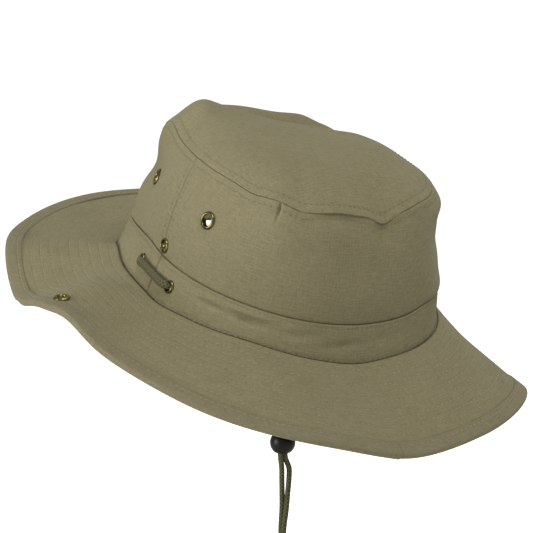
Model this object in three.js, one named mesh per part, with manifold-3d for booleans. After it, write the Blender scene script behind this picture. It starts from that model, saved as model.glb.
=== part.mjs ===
// A boonie hat of cotton twill with a snap-up brim on each side and a chin cord with a sliding ball.
//
// Millimetres. +Z is up, +Y is the back of the hat and +X is the wearer's left side.
// The origin is the middle of the head opening. The hat sits pushed back on the head, so the whole
// hat is one group that is turned about X, while the chin cord hangs straight down outside that group.
import * as THREE from "three";
import { mergeVertices } from "three/addons/utils/BufferGeometryUtils.js";
import Module from "manifold-3d";

const wasm = await Module();
wasm.setup();

// ---- driving dimensions ----

const DEGREE = Math.PI / 180;
const TILT = 15 * DEGREE; // how far the hat is pushed back
const AROUND = 60; // steps around the hat
const GAP = 0.3; // clearance between pieces that touch
const SEAM_HALF_GAP = 0.25; // half the gap at a side seam or a fold line

// The three seams that run around the crown. A seam is an egg-shaped ring, wider at the back, and
// its sides ride higher than its front and back.
const ROOT_SEAM = { side: 83, length: 99, back: 1.5, height: -1, narrow: -0.028, egg: 0.065, saddle: 5.5 };
const BAND_SEAM = { side: 78, length: 94, back: 0.5, height: 18, narrow: -0.07, egg: 0.09, saddle: 5.9 };
const TIP_SEAM = { side: 65, length: 83, back: 4.4, height: 73, narrow: -0.05, egg: 0.095, saddle: 5.2 };

const WALL_BULGE = 3; // how far the crown wall swells between its seams
const TIP_DOME = 18; // how far the top panel rises above its seam
const TIP_LEAN = { left: 0.25, back: -0.15 }; // share by which the dome is higher on one side
const TIP_CREASE = 7; // depth of the lengthwise dent in the top
const TIP_CREASE_X = -14;
const TIP_CREASE_WIDTH = 20;

const BRIM_WIDTH = 61; // from the root seam to the bound edge, along the cloth
// Droop of the brim below the plane of the opening, at even steps from the left side to the back.
const BRIM_DROOP = [4, 6, 17, 23, 31, 28, 30, 44, 48, 33, 12, -3, -3, 3, 6, 16];
const BINDING_WIDTH = 9;
const BINDING_CLOTH = 0.5;

const CLOTH = 1; // crown cloth
const BAND_CLOTH = 1.2; // folded band
const SWEATBAND_IN = 1.6; // sweatband face, inside the band's outer face
const SWEATBAND_CLOTH = 1;
// Heights of the three brim layers above and below the middle of the brim.
const PLY_LAYERS = {
  brim_top_ply: [0.6, 1.2],
  brim_interlining: [-0.15, 0.15],
  brim_under_ply: [-1.2, -0.6],
};

// Fold lines of the snap-up sides, across the brim from front to back.
const FOLD_LEFT = 100;
const FOLD_RIGHT = -92.6;

// Places on the left side, mirrored to the right: degrees from the left side towards the back,
// and the share of the panel's height or, on the brim, the distance from the root seam.
const SIDE_SEAM = 4;
const VENTS = { front: { turn: -34.5, along: 0.53 }, rear: { turn: 22, along: 0.56 } };
const LACE_EYELETS = { front: { turn: -9, along: 0.5 }, rear: { turn: 14.5, along: 0.52 } };
const CROWN_SNAP = { turn: 5.5, along: 0.11 };
const BRIM_SNAP = { turn: 5.5, along: 46 };

const CORD_DIAMETER = 2.9;
const CORD_SIDES = 8;
const BALL_RADIUS = 6.9;
const BALL_FLAT = 5.5; // the ball is cut flat at this height above and below its middle
const BALL_BORE = 3.5;
const BALL_CENTRE = new THREE.Vector3(2.6, 21, -83.6);

// The free chin cord, from the left rear eyelet down through the ball, round the hanging loop and
// up to the right rear eyelet.
const CORD_ROUTE = [
  [74, 27.4, 5.4],
  [69.8, 26.7, 4.1],
  [65.2, 25.3, 1.4],
  [59.6, 23.9, -3.6],
  [48, 22.2, -15.6],
  [36.2, 21.6, -30.2],
  [24.6, 21.3, -45.6],
  [13.8, 21.1, -58.6],
  [6.8, 21, -67.6],
  [4.4, 21, -74],
  [4.2, 21, -80],
  [4.2, 21, -87],
  [4, 21, -92],
  [3, 20.6, -97],
  [2.6, 20.2, -104],
  [2, 19.5, -111],
  [1.8, 19.2, -120],
  [2.3, 18.9, -132],
  [2.6, 19.4, -146],
  [2.7, 19.4, -161],
  [5, 18, -176],
  [8.2, 16.4, -191],
  [10.4, 15.6, -206],
  [9.4, 15.2, -217.5],
  [4.8, 15.2, -225],
  [-1, 15.4, -224.5],
  [-5, 16, -216],
  [-4.8, 17.2, -202],
  [-2.4, 19.2, -188],
  [1.4, 21.6, -172],
  [2.6, 22.6, -160],
  [2.6, 22.6, -147],
  [2.9, 22.4, -132],
  [1.4, 22.7, -120],
  [0.3, 22.5, -111],
  [-0.9, 21.9, -104],
  [-1.3, 21.4, -98],
  [0.9, 21, -92],
  [1, 21, -87],
  [1, 21, -80],
  [0.8, 21, -74],
  [-2, 21, -67.6],
  [-10, 21.1, -58.6],
  [-22.2, 21.3, -45.6],
  [-34.8, 21.6, -30.2],
  [-47.4, 22.2, -15.6],
  [-59.4, 23.9, -3.6],
  [-65.2, 25.3, 1.4],
  [-69.8, 26.7, 4.1],
  [-74, 27.4, 5.4],
];
const CORD_STEPS = 72;

// ---- materials ----

function material(color, roughness, metalness = 0) {
  return new THREE.MeshStandardMaterial({ color, roughness, metalness });
}

const TWILL = material(0x8a8468, 0.9);
const CANVAS = material(0xb9b3a0, 0.95);
const CORD = material(0x54553c, 0.85);
const ANTIQUE_BRASS = material(0x8d7440, 0.35, 1);
const BLACK_PLASTIC = material(0x17181a, 0.3);

// ---- surfaces ----
// A surface gives the point at an angle around the hat and a place along the panel. Its outside
// faces away from the head on the crown and up on the brim and the top.

function seamPoint(seam, angle) {
  const reach = 1 + seam.narrow * Math.cos(2 * angle) + seam.egg * Math.sin(3 * angle);
  return new THREE.Vector3(
    seam.side * reach * Math.cos(angle),
    seam.back + seam.length * reach * Math.sin(angle),
    seam.height + seam.saddle * Math.cos(2 * angle),
  );
}

function between(lower, upper, bulge) {
  return {
    sense: 1,
    point: (angle, along) => {
      const point = seamPoint(lower, angle).lerp(seamPoint(upper, angle), along);
      const outward = new THREE.Vector3(Math.cos(angle), Math.sin(angle), 0);
      return point.addScaledVector(outward, bulge * 4 * along * (1 - along));
    },
  };
}

// A smooth closed curve through evenly spaced values.
function aroundTheHat(values, angle) {
  const place = (((angle / (2 * Math.PI)) % 1) + 1) * values.length;
  const first = Math.floor(place);
  const t = place - first;
  const [a, b, c, d] = [-1, 0, 1, 2].map((k) => values[(first + k + values.length) % values.length]);
  return b + 0.5 * t * (c - a + t * (2 * a - 5 * b + 4 * c - d + t * (3 * (b - c) + d - a)));
}

function brimPoint(angle, along) {
  const step = 0.001;
  const tangent = seamPoint(ROOT_SEAM, angle + step).sub(seamPoint(ROOT_SEAM, angle - step));
  const outward = new THREE.Vector3(tangent.y, -tangent.x, 0).normalize();
  const droop = aroundTheHat(BRIM_DROOP, angle) * DEGREE;
  const point = seamPoint(ROOT_SEAM, angle).addScaledVector(outward, along * Math.cos(droop));
  point.z -= along * Math.sin(droop);
  return point;
}

function tipPoint(angle, along) {
  const edge = seamPoint(TIP_SEAM, angle);
  const middle = new THREE.Vector3(0, TIP_SEAM.back, TIP_SEAM.height);
  const point = middle.lerp(edge, along);
  const crease = Math.exp(-(((point.x - TIP_CREASE_X) / TIP_CREASE_WIDTH) ** 2));
  const lean = (TIP_LEAN.left * point.x) / TIP_SEAM.side + (TIP_LEAN.back * point.y) / TIP_SEAM.length;
  point.z += TIP_DOME * (1 + lean) * (1 - along ** 5) - TIP_CREASE * crease * (1 - along ** 3);
  return point;
}

const BAND = between(ROOT_SEAM, BAND_SEAM, 0);
const WALL = between(BAND_SEAM, TIP_SEAM, WALL_BULGE);
const BRIM = { sense: -1, point: brimPoint };
const TIP = { sense: -1, point: tipPoint };

function outwardAt(surface, angle, along) {
  const step = 0.01;
  const here = Math.max(along, 2 * step);
  const around = surface.point(angle + step, here).sub(surface.point(angle - step, here));
  const up = surface.point(angle, here + step).sub(surface.point(angle, here - step));
  return around.cross(up).normalize().multiplyScalar(surface.sense);
}

function pointOn(surface, angle, along, height) {
  return surface.point(angle, along).addScaledVector(outwardAt(surface, angle, along), height);
}

// ---- solids ----

function moved(geometry, place) {
  const position = geometry.getAttribute("position");
  const vertex = new THREE.Vector3();
  for (let i = 0; i < position.count; i++) {
    const to = place(vertex.fromBufferAttribute(position, i));
    position.setXYZ(i, to.x, to.y, to.z);
  }
  return geometry;
}

function positionsOnly(geometry) {
  const copy = new THREE.BufferGeometry();
  copy.setAttribute("position", geometry.getAttribute("position").clone());
  if (geometry.index) copy.setIndex(geometry.index.clone());
  return mergeVertices(copy, 1e-3);
}

// A manifold-3d solid of a closed mesh, with its faces pointing out.
function solidOf(geometry) {
  const merged = positionsOnly(geometry);
  const vertProperties = merged.getAttribute("position").array;
  const triVerts = new Uint32Array(merged.index.array);
  const made = new wasm.Manifold(new wasm.Mesh({ numProp: 3, vertProperties, triVerts }));
  if (made.volume() > 0) return made;
  for (let i = 0; i < triVerts.length; i += 3) triVerts.subarray(i, i + 3).reverse();
  return new wasm.Manifold(new wasm.Mesh({ numProp: 3, vertProperties, triVerts }));
}

function geometryOf(solid) {
  const { vertProperties, triVerts } = solid.getMesh();
  const geometry = new THREE.BufferGeometry();
  geometry.setAttribute("position", new THREE.BufferAttribute(vertProperties, 3));
  geometry.setIndex(new THREE.BufferAttribute(triVerts, 1));
  geometry.computeVertexNormals();
  return geometry;
}

// The outline of a flat cloth with a point on both faces at each place along the panel.
function flatOutline(places, [low, high]) {
  const upper = places.map((along) => [along, high]);
  const lower = places.map((along) => [along, low]);
  return [...upper, ...lower.reverse()];
}

// A lathe splits each four-sided face along the way its outline runs. Faces where the outline runs
// inwards are split the other way here, so that all faces of a cloth, and of the cloths that lie on
// it, stay parallel where the brim twists.
function splitAlike(lathe, outline) {
  const corners = lathe.index.array;
  for (let at = 0; at < corners.length; at += 6) {
    const step = (at / 6) % outline.length;
    const next = outline[(step + 1) % outline.length];
    if (next[0] >= outline[step][0]) continue;
    const [a, b, d, c] = corners.subarray(at, at + 4);
    corners.set([a, b, c, a, c, d], at);
  }
  return lathe;
}

// A ring of cloth right around the hat: a closed outline of [along, height] points on a surface.
function ringOf(surface, outline) {
  const hub = 100; // keeps the outline clear of the lathe's axis before it is laid on the surface
  const points = [...outline, outline[0]].map(([along, height]) => new THREE.Vector2(hub + along, height));
  const lathe = splitAlike(new THREE.LatheGeometry(points, AROUND), outline);
  return moved(lathe, (v) => pointOn(surface, Math.atan2(v.x, v.z), Math.hypot(v.x, v.z) - hub, v.y));
}

// A panel of cloth between two angles around the hat.
function panelOf(surface, angles, along, heights, rows) {
  const columns = Math.ceil((AROUND * (angles[1] - angles[0])) / (2 * Math.PI));
  const box = new THREE.BoxGeometry(1, 1, 1, columns, rows, 1);
  const pick = (range, share) => range[0] + (range[1] - range[0]) * (share + 0.5);
  return moved(box, (v) => pointOn(surface, pick(angles, v.x), pick(along, v.y), pick(heights, v.z)));
}

// The top panel: a domed disc whose edge lies just above the tip seam.
function tipDisc(rings) {
  const rows = Array.from({ length: rings + 1 }, (_, i) => Math.sqrt(i / rings));
  const upper = rows.map((along) => new THREE.Vector2(along, 0));
  const lower = rows.map((along) => new THREE.Vector2(along, -CLOTH)).reverse();
  const lathe = new THREE.LatheGeometry([...upper, ...lower], AROUND);
  return moved(lathe, (v) => pointOn(TIP, Math.atan2(v.x, v.z), Math.hypot(v.x, v.z), v.y));
}

function slab(from, to) {
  const size = to.clone().sub(from);
  const middle = from.clone().add(to).multiplyScalar(0.5);
  return solidOf(new THREE.BoxGeometry(size.x, size.y, size.z).translate(middle.x, middle.y, middle.z));
}

// ---- placing small hardware ----

const UP = new THREE.Vector3(0, 1, 0);

// Where a fitting sits: side is 1 on the left and -1 on the right.
function spot(surface, place, side) {
  const angle = side > 0 ? place.turn * DEGREE : Math.PI - place.turn * DEGREE;
  return {
    angle,
    along: place.along,
    position: surface.point(angle, place.along),
    turn: new THREE.Quaternion().setFromUnitVectors(UP, outwardAt(surface, angle, place.along)),
  };
}

// The solid of a straight hole through the cloth at a spot.
function holeAt(at, radius) {
  const drill = new THREE.CylinderGeometry(radius, radius, 14, 12);
  return solidOf(drill.applyQuaternion(at.turn).translate(at.position.x, at.position.y, at.position.z));
}

function withHoles(geometry, holes) {
  return holes.reduce((solid, hole) => solid.subtract(hole), solidOf(geometry));
}

// A turned piece whose outline is a closed list of [radius, height] points.
function turned(outline, segments = 10) {
  const points = [...outline, outline[0]].map(([radius, height]) => new THREE.Vector2(radius, height));
  return geometryOf(solidOf(new THREE.LatheGeometry(points, segments)));
}

function mesh(name, geometry, look) {
  const made = new THREE.Mesh(geometry, look);
  made.name = name;
  return made;
}

function fitting(name, outline, at) {
  const made = mesh(name, turned(outline), ANTIQUE_BRASS);
  made.position.copy(at.position);
  made.quaternion.copy(at.turn);
  return made;
}

// ---- outlines of the fittings: [radius, height above the cloth's outer face] ----

const VENT = { bore: 2.6, barrel: 3.2, flange: 4.75, hole: 3.5 };
const LACE_EYELET = { bore: 1.9, barrel: 2.4, flange: 3.75, hole: 2.7 };
const SNAP_STEM = 1.3;
const SNAP_HOLE = 1.6;

function eyeletOutline(size, reach) {
  const middle = (size.barrel + size.flange) / 2;
  return [
    [size.bore, 1.1],
    [middle, 1.5],
    [size.flange, 0.9],
    [size.flange, 0.35],
    [size.barrel, 0.35],
    [size.barrel, -reach],
    [size.bore, -reach],
  ];
}

function washerOutline(size, face) {
  return [
    [size.barrel + GAP, -face],
    [size.flange + 0.1, -face],
    [size.flange + 0.1, -face - 0.6],
    [size.barrel + GAP, -face - 0.6],
  ];
}

const CROWN_STUD = [
  [0, 0.35],
  [4, 0.35],
  [4, 1],
  [3.3, 1.5],
  [2, 1.3],
  [1.9, 3.1],
  [1.4, 3.6],
  [0, 3.6],
];
const CROWN_STUD_POST = [
  [0, 0.05],
  [SNAP_STEM, 0.05],
  [SNAP_STEM, -1.6],
  [4.4, -1.6],
  [4, -2.4],
  [0, -2.7],
];
const BRIM_SOCKET = [
  [0, 1.85],
  [4.3, 1.85],
  [4.3, 3],
  [3.4, 3.7],
  [2.3, 3.5],
  [2.3, 2.3],
  [0, 2.3],
];
const BRIM_SOCKET_CAP = [
  [0, 1.55],
  [SNAP_STEM, 1.55],
  [SNAP_STEM, -1.6],
  [4.9, -1.6],
  [4.2, -2.5],
  [0, -3],
];

// ---- crown ----

const hat = new THREE.Group();
hat.rotation.x = -TILT;

const SIDES = { left: 1, right: -1 };
const sidePairs = Object.entries(SIDES);

function spotsOf(surface, places) {
  return sidePairs.flatMap(([name, side]) =>
    Object.entries(places).map(([end, place]) => ({ name: `${name}_${end}`, at: spot(surface, place, side) })),
  );
}

const vents = spotsOf(WALL, VENTS);
const laceEyelets = spotsOf(BAND, LACE_EYELETS);
const crownSnaps = spotsOf(WALL, { snap: CROWN_SNAP });
const brimSnaps = spotsOf(BRIM, { snap: BRIM_SNAP });

function drills(spots, radius) {
  return spots.map(({ at }) => holeAt(at, radius));
}

// The two panels of a crown part meet in a seam on each side.
function addHalves(name, surface, along, cloth, rows, holes) {
  const gap = SEAM_HALF_GAP / ROOT_SEAM.side;
  const seams = [SIDE_SEAM * DEGREE, Math.PI - SIDE_SEAM * DEGREE];
  const spans = {
    back: [seams[0] + gap, seams[1] - gap],
    front: [seams[1] + gap - 2 * Math.PI, seams[0] - gap],
  };
  for (const [half, span] of Object.entries(spans)) {
    const cut = withHoles(panelOf(surface, span, along, [-cloth, 0], rows), holes);
    hat.add(mesh(`${name}_${half}`, geometryOf(cut), TWILL));
  }
}

hat.add(mesh("crown_top", geometryOf(solidOf(tipDisc(5))), TWILL));
addHalves("crown_wall", WALL, [0.012, 0.975], CLOTH, 3, [
  ...drills(vents, VENT.hole),
  ...drills(crownSnaps, SNAP_HOLE),
]);
addHalves("crown_band", BAND, [0.02, 0.98], BAND_CLOTH, 1, drills(laceEyelets, LACE_EYELET.hole));

const sweatbandOutline = flatOutline([0.06, 0.96], [-SWEATBAND_IN - SWEATBAND_CLOTH, -SWEATBAND_IN]);
const sweatband = withHoles(ringOf(BAND, sweatbandOutline), drills(laceEyelets, LACE_EYELET.hole));
hat.add(mesh("sweatband", geometryOf(sweatband), CANVAS));

// ---- brim ----
// Each layer is one ring of cloth, parted at the two fold lines so that its sides can turn up.

const FAR = 250;

function beyondFold(fold, margin) {
  const outward = Math.sign(fold);
  const edge = fold + outward * margin;
  const far = outward * FAR;
  return slab(
    new THREE.Vector3(Math.min(edge, far), -FAR, -FAR),
    new THREE.Vector3(Math.max(edge, far), FAR, FAR),
  );
}

const FOLDS = { left: FOLD_LEFT, right: FOLD_RIGHT };

// The middle of a brim layer and its two flaps, as solids.
function parted(ring) {
  const pieces = { middle: ring };
  for (const [side, fold] of Object.entries(FOLDS)) {
    pieces.middle = pieces.middle.subtract(beyondFold(fold, -SEAM_HALF_GAP));
    pieces[side] = ring.intersect(beyondFold(fold, SEAM_HALF_GAP));
  }
  return pieces;
}

const BINDING_INNER = BRIM_WIDTH - BINDING_WIDTH;
const PLY_PLACES = [1.2, BINDING_INNER / 2, BINDING_INNER, BRIM_WIDTH - BINDING_CLOTH - GAP];

for (const [name, heights] of Object.entries(PLY_LAYERS)) {
  const ring = ringOf(BRIM, flatOutline(PLY_PLACES, heights));
  const pieces = parted(withHoles(ring, drills(brimSnaps, SNAP_HOLE)));
  const look = name === "brim_interlining" ? CANVAS : TWILL;
  hat.add(mesh(name, geometryOf(pieces.middle), look));
  for (const side of Object.keys(FOLDS)) hat.add(mesh(`${name}_${side}`, geometryOf(pieces[side]), look));
}

// The binding is folded over the edge of the brim.
function bindingRing() {
  const cloth = PLY_LAYERS.brim_top_ply[1] + GAP;
  const face = cloth + BINDING_CLOTH;
  const fold = BRIM_WIDTH - BINDING_CLOTH;
  const outline = [
    [BINDING_INNER, face],
    [BRIM_WIDTH - 0.4, face],
    [BRIM_WIDTH, face - 0.7],
    [BRIM_WIDTH, -face + 0.7],
    [BRIM_WIDTH - 0.4, -face],
    [BINDING_INNER, -face],
    [BINDING_INNER, -cloth],
    [fold, -cloth],
    [fold, cloth],
    [BINDING_INNER, cloth],
  ];
  return solidOf(ringOf(BRIM, outline));
}

const binding = parted(bindingRing());
const frontHalf = slab(new THREE.Vector3(-FAR, -FAR, -FAR), new THREE.Vector3(FAR, 0, FAR));
hat.add(mesh("brim_binding_front", geometryOf(binding.middle.intersect(frontHalf)), TWILL));
hat.add(mesh("brim_binding_back", geometryOf(binding.middle.subtract(frontHalf)), TWILL));
for (const side of Object.keys(FOLDS)) {
  hat.add(mesh(`brim_binding_${side}`, geometryOf(binding[side]), TWILL));
}

// ---- eyelets and snaps ----

const WASHER_FACE = 1.9; // inside the crown wall
const LACE_WASHER_FACE = 3.1; // inside the band and the sweatband

for (const { name, at } of vents) {
  hat.add(fitting(`vent_eyelet_${name}`, eyeletOutline(VENT, WASHER_FACE + 0.6), at));
  hat.add(fitting(`vent_washer_${name}`, washerOutline(VENT, WASHER_FACE), at));
}
for (const { name, at } of laceEyelets) {
  hat.add(fitting(`lace_eyelet_${name}`, eyeletOutline(LACE_EYELET, LACE_WASHER_FACE + 0.6), at));
  hat.add(fitting(`lace_washer_${name}`, washerOutline(LACE_EYELET, LACE_WASHER_FACE), at));
}
crownSnaps.forEach(({ at }, i) => {
  hat.add(fitting(`crown_snap_stud_${sidePairs[i][0]}`, CROWN_STUD, at));
  hat.add(fitting(`crown_snap_post_${sidePairs[i][0]}`, CROWN_STUD_POST, at));
});
brimSnaps.forEach(({ at }, i) => {
  hat.add(fitting(`brim_snap_socket_${sidePairs[i][0]}`, BRIM_SOCKET, at));
  hat.add(fitting(`brim_snap_cap_${sidePairs[i][0]}`, BRIM_SOCKET_CAP, at));
});

// ---- chin cord ----

function cordAlong(points, steps) {
  const section = new THREE.Shape();
  for (let i = 0; i < CORD_SIDES; i++) {
    const angle = (2 * Math.PI * i) / CORD_SIDES;
    const [x, y] = [Math.cos(angle), Math.sin(angle)].map((v) => (v * CORD_DIAMETER) / 2);
    if (i === 0) section.moveTo(x, y);
    else section.lineTo(x, y);
  }
  section.closePath();
  const extrudePath = new THREE.CatmullRomCurve3(points, false, "centripetal");
  return geometryOf(solidOf(new THREE.ExtrudeGeometry(section, { steps, extrudePath })));
}

// The cord crosses the band from the front eyelet to the rear one and ends inside both of them.
// Each point is the share of the way across and the height above the band.
const LACE_INSIDE = -4.6;
const LACE_ROUTE = [
  [0, LACE_INSIDE],
  [0, -1],
  [0, 1.6],
  [0.04, 3.6],
  [0.12, 4.5],
  [0.26, 3.7],
  [0.5, 2.7],
  [0.74, 3.7],
  [0.88, 4.5],
  [0.96, 3.6],
  [1, 1.6],
  [1, -1],
  [1, LACE_INSIDE],
];
const LACE_STEPS = 22;
const KNOT_RADIUS = 3.4;

function addLace(name, side) {
  const ends = [LACE_EYELETS.front, LACE_EYELETS.rear].map((place) => spot(BAND, place, side));
  const points = LACE_ROUTE.map(([share, height]) => {
    const angle = THREE.MathUtils.lerp(ends[0].angle, ends[1].angle, share);
    return pointOn(BAND, angle, THREE.MathUtils.lerp(ends[0].along, ends[1].along, share), height);
  });
  hat.add(mesh(`cord_lace_${name}`, cordAlong(points, LACE_STEPS), CORD));
  const knot = mesh(`cord_knot_${name}`, new THREE.SphereGeometry(KNOT_RADIUS, 10, 8), CORD);
  const below = LACE_INSIDE - GAP - KNOT_RADIUS;
  knot.position.copy(pointOn(BAND, ends[0].angle, ends[0].along, below));
  hat.add(knot);
}

for (const [name, side] of sidePairs) addLace(name, side);

function ballOutline() {
  const flatAngle = Math.asin(BALL_FLAT / BALL_RADIUS);
  const arcSteps = 8;
  const arc = Array.from({ length: arcSteps + 1 }, (_, i) => {
    const angle = THREE.MathUtils.lerp(-flatAngle, flatAngle, i / arcSteps);
    return [BALL_RADIUS * Math.cos(angle), BALL_RADIUS * Math.sin(angle)];
  });
  return [[BALL_BORE, -BALL_FLAT], ...arc, [BALL_BORE, BALL_FLAT]];
}

const group = new THREE.Group();
group.add(hat);

const route = CORD_ROUTE.map((point) => new THREE.Vector3(...point));
group.add(mesh("chin_cord", cordAlong(route, CORD_STEPS), CORD));

const ball = mesh("toggle_ball", turned(ballOutline(), 16), BLACK_PLASTIC);
ball.rotation.x = Math.PI / 2;
ball.position.copy(BALL_CENTRE);
group.add(ball);

export default group;
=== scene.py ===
"""A boonie hat of cotton twill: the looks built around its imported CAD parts."""

import math

import bmesh
import bpy
import numpy as np
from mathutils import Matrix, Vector


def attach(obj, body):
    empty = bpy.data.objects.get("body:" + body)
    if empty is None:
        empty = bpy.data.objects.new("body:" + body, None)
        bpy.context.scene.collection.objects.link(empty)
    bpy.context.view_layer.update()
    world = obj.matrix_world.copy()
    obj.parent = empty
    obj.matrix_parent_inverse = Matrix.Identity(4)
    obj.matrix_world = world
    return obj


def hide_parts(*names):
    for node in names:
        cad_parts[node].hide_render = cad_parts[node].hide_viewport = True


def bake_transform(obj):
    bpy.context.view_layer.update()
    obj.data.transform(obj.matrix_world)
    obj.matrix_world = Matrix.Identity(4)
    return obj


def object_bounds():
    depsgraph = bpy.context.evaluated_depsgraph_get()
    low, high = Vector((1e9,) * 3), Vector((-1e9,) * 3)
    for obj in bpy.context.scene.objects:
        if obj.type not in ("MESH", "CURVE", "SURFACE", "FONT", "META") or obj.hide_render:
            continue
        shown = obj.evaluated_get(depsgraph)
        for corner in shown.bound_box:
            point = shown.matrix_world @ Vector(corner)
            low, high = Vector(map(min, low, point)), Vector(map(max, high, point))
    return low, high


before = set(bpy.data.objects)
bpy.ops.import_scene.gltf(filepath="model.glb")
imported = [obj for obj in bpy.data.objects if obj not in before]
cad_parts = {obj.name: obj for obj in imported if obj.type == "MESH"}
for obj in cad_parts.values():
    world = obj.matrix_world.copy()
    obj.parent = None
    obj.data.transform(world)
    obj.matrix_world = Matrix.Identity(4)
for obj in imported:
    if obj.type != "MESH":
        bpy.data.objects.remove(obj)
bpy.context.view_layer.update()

# ---- dimensions in millimetres, in the hat's own frame: x left, y back, z up from the head opening ----

TILT = math.radians(15)
# The three rings round the crown. Side to saddle are rounded from a least-squares fit, apart from egg in
# the upper two. The waves were set one by one, and each is (angle, angle's spread, height).
ROOT = dict(
    side=83, length=99, back=1.5, height=-1, narrow=-0.028, egg=0.065, saddle=5.5,
    waves=[(-40, 12, 5), (12, 8, -1.5), (47, 14, 1.9), (85, 12, -1.3), (-108, 24, 9)],
)  # fmt: skip
BAND_TOP = dict(
    side=78, length=94, back=0.5, height=18, narrow=-0.07, egg=0.09, saddle=5.9,
    waves=[(-8, 12, 0.8), (122, 8, 1.5), (-108, 26, 5)],
)  # fmt: skip
TIP_EDGE = dict(
    side=65, length=83, back=4.4, height=73, narrow=-0.05, egg=0.095, saddle=5.2,
    waves=[
        (-42, 14, 6), (35, 6, -1.6), (55, 7, -2.1), (74, 7, 1.2),
        (97, 7, -4.6), (120, 9, 1.6), (162, 12, -1.6),
    ],
)  # fmt: skip
TIP_DOME = 17
TIP_TURN = (0.592, 0.806)  # the way the top's bumps are laid out: towards the left and the back
BRIM_WIDTH, BINDING_WIDTH = 61, 9
# Droop of the brim in degrees, at 16 even steps right round the hat from the left side. The values are
# those of a least-squares fit to the brim's outline, rounded: all but two are within 1.3 degrees of it.
BRIM_DROOP = [4.6, 6, 17, 23, 31, 26.5, 26.5, 48, 50, 33, 12, -4, -3.5, 3, 5, 20]
BRIM_FACE = 1.2
BINDING_FACE = 1.8
STITCH_ROWS = [5 + 5.25 * i for i in range(9)]
BINDING_STITCH = 54.2
BINDING_JOINT = 85.2
SIDE_SEAM = math.radians(4)
TUCK = 46.3
BALL = Vector((0.0026, 0.021, -0.0836))  # in metres

# Lengths of the panels along the cloth, which turn a share of a panel into millimetres.
WALL_LENGTH, BAND_LENGTH, TIP_LENGTH = 55, 19, 74
WALL_RADIUS, BAND_RADIUS, BRIM_RADIUS = 74, 80, 150  # rough radii, which turn an angle into millimetres
WALL_CLOTH, BAND_CLOTH, TIP_CLOTH = 1.1, 1.2, 1.0
PANEL_STEP, BRIM_STEP = 0.01, 0.3  # steps for a slope: a share of a crown panel, millimetres of brim

# ---- small array tools ----


def turns(degrees):
    return np.radians(degrees)


def unit(v):
    return v / np.maximum(np.linalg.norm(v, axis=-1, keepdims=True), 1e-12)


def to_world(points):
    """Hat frame in millimetres to the row frame in metres: the hat is pushed back on the head."""
    x, y, z = points[..., 0], points[..., 1], points[..., 2]
    c, s = math.cos(TILT), math.sin(TILT)
    return np.stack([x, y * c + z * s, -y * s + z * c], -1) * 0.001


def periodic(values, a):
    """A smooth closed curve through evenly spaced values."""
    values = np.asarray(values, float)
    n = len(values)
    place = (np.asarray(a) / (2 * np.pi)) % 1 * n
    i = np.floor(place).astype(int)
    t = place - i
    p, q, r, s = (values[(i + k) % n] for k in (-1, 0, 1, 2))
    return q + 0.5 * t * (r - p + t * (2 * p - 5 * q + 4 * r - s + t * (3 * (q - r) + s - p)))


def dents(a, v, spots):
    """Soft rises and dents: each is (angle, place, angle's spread, place's spread, height, lean)."""
    total = np.zeros(np.broadcast(a, v).shape)
    for angle, place, da, dv, height, *lean in spots:
        turn = (a - turns(angle) + np.pi) % (2 * np.pi) - np.pi
        slant = v - place - (lean[0] if lean else 0) * np.degrees(turn)
        total = total + height * np.exp(-((turn / turns(da)) ** 2) - (slant / dv) ** 2)
    return total


def ripples(a, v, seed, waves, fastest, v_scale, height):
    """Faint random unevenness of cloth, the same at every run."""
    rng = np.random.default_rng(seed)
    total = np.zeros(np.broadcast(a, v).shape)
    for _ in range(waves):
        k = rng.integers(2, fastest)
        total = total + np.sin(k * a + rng.uniform(-1, 1) * v * v_scale + rng.uniform(0, 6.3)) / waves**0.5
    return total * height


# ---- surfaces: point(a, v) in millimetres in the hat frame ----


def waves(a, spots):
    """Gentle rises and falls around the hat: each is (angle, angle's spread, height)."""
    total = np.zeros(np.shape(a))
    for angle, spread, height in spots:
        turn = (a - turns(angle) + np.pi) % (2 * np.pi) - np.pi
        total = total + height * np.exp(-((turn / turns(spread)) ** 2))
    return total


def ring(seam, a):
    reach = 1 + seam["narrow"] * np.cos(2 * a) + seam["egg"] * np.sin(3 * a)
    x = seam["side"] * reach * np.cos(a)
    y = seam["back"] + seam["length"] * reach * np.sin(a)
    z = seam["height"] + seam["saddle"] * np.cos(2 * a) + waves(a, seam["waves"])
    return np.stack([x, y, z], -1)


def outward(a):
    return np.stack([np.cos(a), np.sin(a), np.zeros_like(a)], -1)


def band_at(a, v):
    low, high = ring(ROOT, a), ring(BAND_TOP, a)
    point = low + (high - low) * v[..., None]
    swell = dents(a, v, BAND_DENTS) + wall_swell(a, np.zeros_like(a)) * v * v * (3 - 2 * v)
    return point + outward(a) * swell[..., None]


def wall_swell(a, v):
    return 12 * v * (1 - v) + dents(a, v, WALL_DENTS) + ripples(a, v, 3, 5, 9, 9, 0.25)


def wall_at(a, v):
    low, high = ring(BAND_TOP, a), ring(TIP_EDGE, a)
    point = low + (high - low) * v[..., None]
    return point + outward(a) * wall_swell(a, v)[..., None]


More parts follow.
